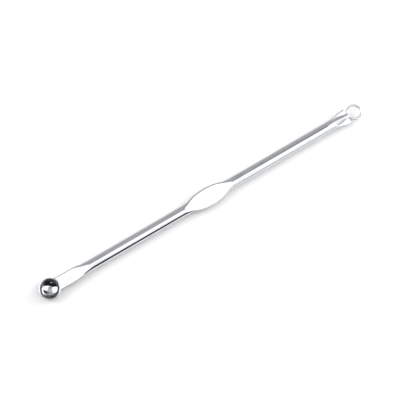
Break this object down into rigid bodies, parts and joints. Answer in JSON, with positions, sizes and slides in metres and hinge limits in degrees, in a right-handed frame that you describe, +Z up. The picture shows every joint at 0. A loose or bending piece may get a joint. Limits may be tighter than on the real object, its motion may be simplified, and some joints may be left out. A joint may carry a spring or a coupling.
{
  "type": "ear wax cleaner",
  "caption": "Slim polished steel hand tool with a leaf-shaped finger grip, a small perforated cup on a flat neck at one end and a thin wire loop on a fishtail at the other.",
  "frame": {"origin": "middle of the tool's length and width, on the plane that it lies on", "axes": "+X along the tool from the cup to the loop, +Z up, square to the flat faces of the neck and the grip"},
  "size_m": [0.1, 0.0056, 0.003],
  "materials": {
    "polished_steel": "mirror-polished stainless steel",
    "silver_braze": "polished silver braze"
  },
  "bodies": {
    "root": {"handle": "polished_steel", "cup": "polished_steel", "loop_stem": "polished_steel", "loop_ring": "polished_steel", "cup_braze": "silver_braze", "loop_braze": "silver_braze", "stem_braze_left": "silver_braze", "stem_braze_right": "silver_braze"}
  },
  "joints": []
}
